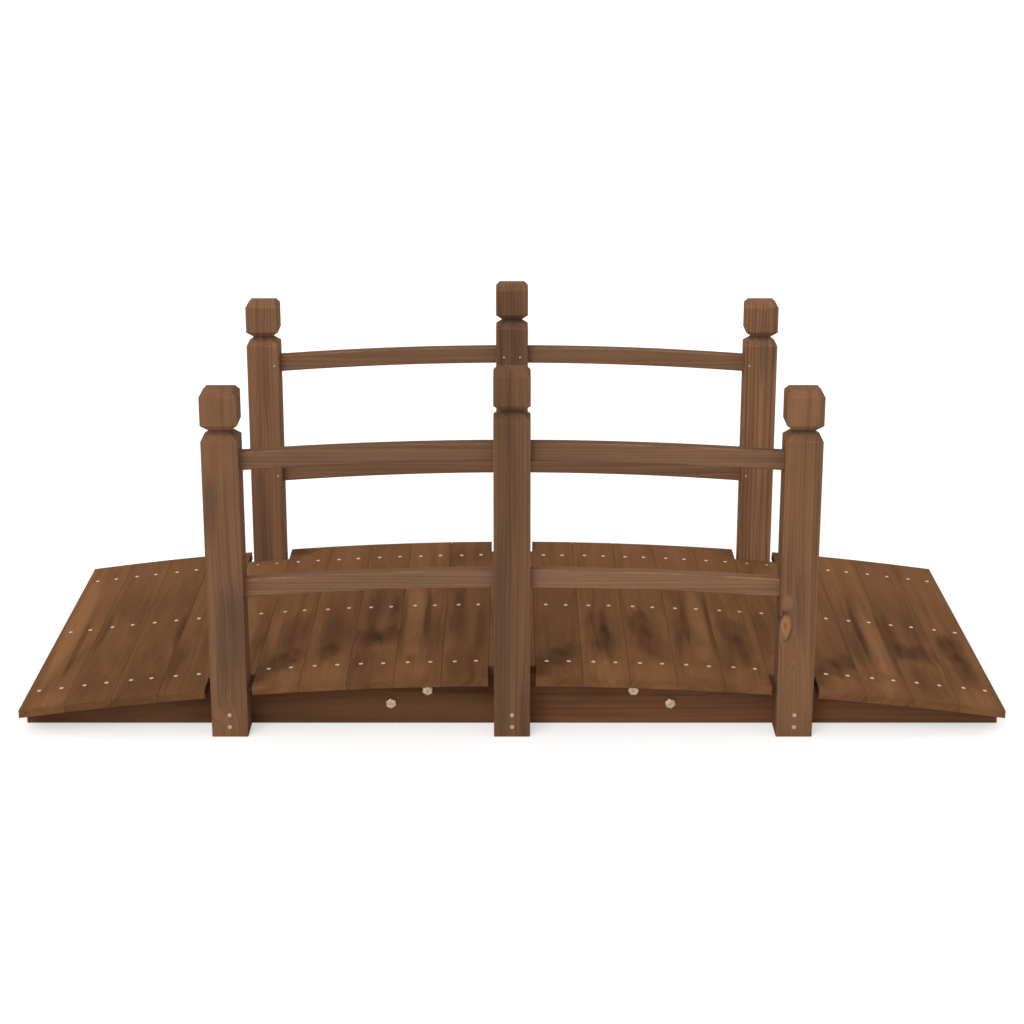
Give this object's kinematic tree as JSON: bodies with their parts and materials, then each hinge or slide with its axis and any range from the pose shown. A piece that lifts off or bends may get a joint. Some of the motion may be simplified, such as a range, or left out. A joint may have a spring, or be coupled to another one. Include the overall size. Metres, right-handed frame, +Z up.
{
  "type": "arched wooden garden bridge",
  "caption": "Low arched wooden garden bridge: a planked deck on arched beams, with capped square posts and curved rails along both sides of the walkway.",
  "frame": {"origin": "on the ground, under the middle of the deck", "axes": "+X along the walkway, +Y across it towards the rear railing, +Z up"},
  "size_m": [1.5, 0.67, 0.57],
  "materials": {
    "deck_wood": "brown stain, satin",
    "post_wood": "brown stain, satin",
    "rail_wood": "brown stain, satin",
    "beam_wood": "brown stain, satin"
  },
  "bodies": {
    "root": {"deck_plank_01": "deck_wood", "deck_plank_02": "deck_wood", "deck_plank_03": "deck_wood", "deck_plank_04": "deck_wood", "deck_plank_05": "deck_wood", "deck_plank_06": "deck_wood", "deck_plank_07": "deck_wood", "deck_plank_08": "deck_wood", "deck_plank_09": "deck_wood", "deck_plank_10": "deck_wood", "deck_plank_11": "deck_wood", "deck_plank_12": "deck_wood", "deck_plank_13": "deck_wood", "deck_plank_14": "deck_wood", "deck_plank_15": "deck_wood", "deck_plank_16": "deck_wood", "deck_plank_17": "deck_wood", "deck_plank_18": "deck_wood", "deck_plank_19": "deck_wood", "deck_plank_20": "deck_wood", "deck_plank_21": "deck_wood", "front_left_post": "post_wood", "front_centre_post": "post_wood", "front_right_post": "post_wood", "rear_left_post": "post_wood", "rear_centre_post": "post_wood", "rear_right_post": "post_wood", "front_left_top_rail": "rail_wood", "front_left_lower_rail": "rail_wood", "front_right_top_rail": "rail_wood", "front_right_lower_rail": "rail_wood", "rear_left_top_rail": "rail_wood", "rear_left_lower_rail": "rail_wood", "rear_right_top_rail": "rail_wood", "rear_right_lower_rail": "rail_wood", "front_left_beam": "beam_wood", "front_right_beam": "beam_wood", "middle_left_beam": "beam_wood", "middle_right_beam": "beam_wood", "rear_left_beam": "beam_wood", "rear_right_beam": "beam_wood", "front_splice_board": "beam_wood", "middle_splice_board": "beam_wood", "rear_splice_board": "beam_wood"}
  },
  "joints": []
}
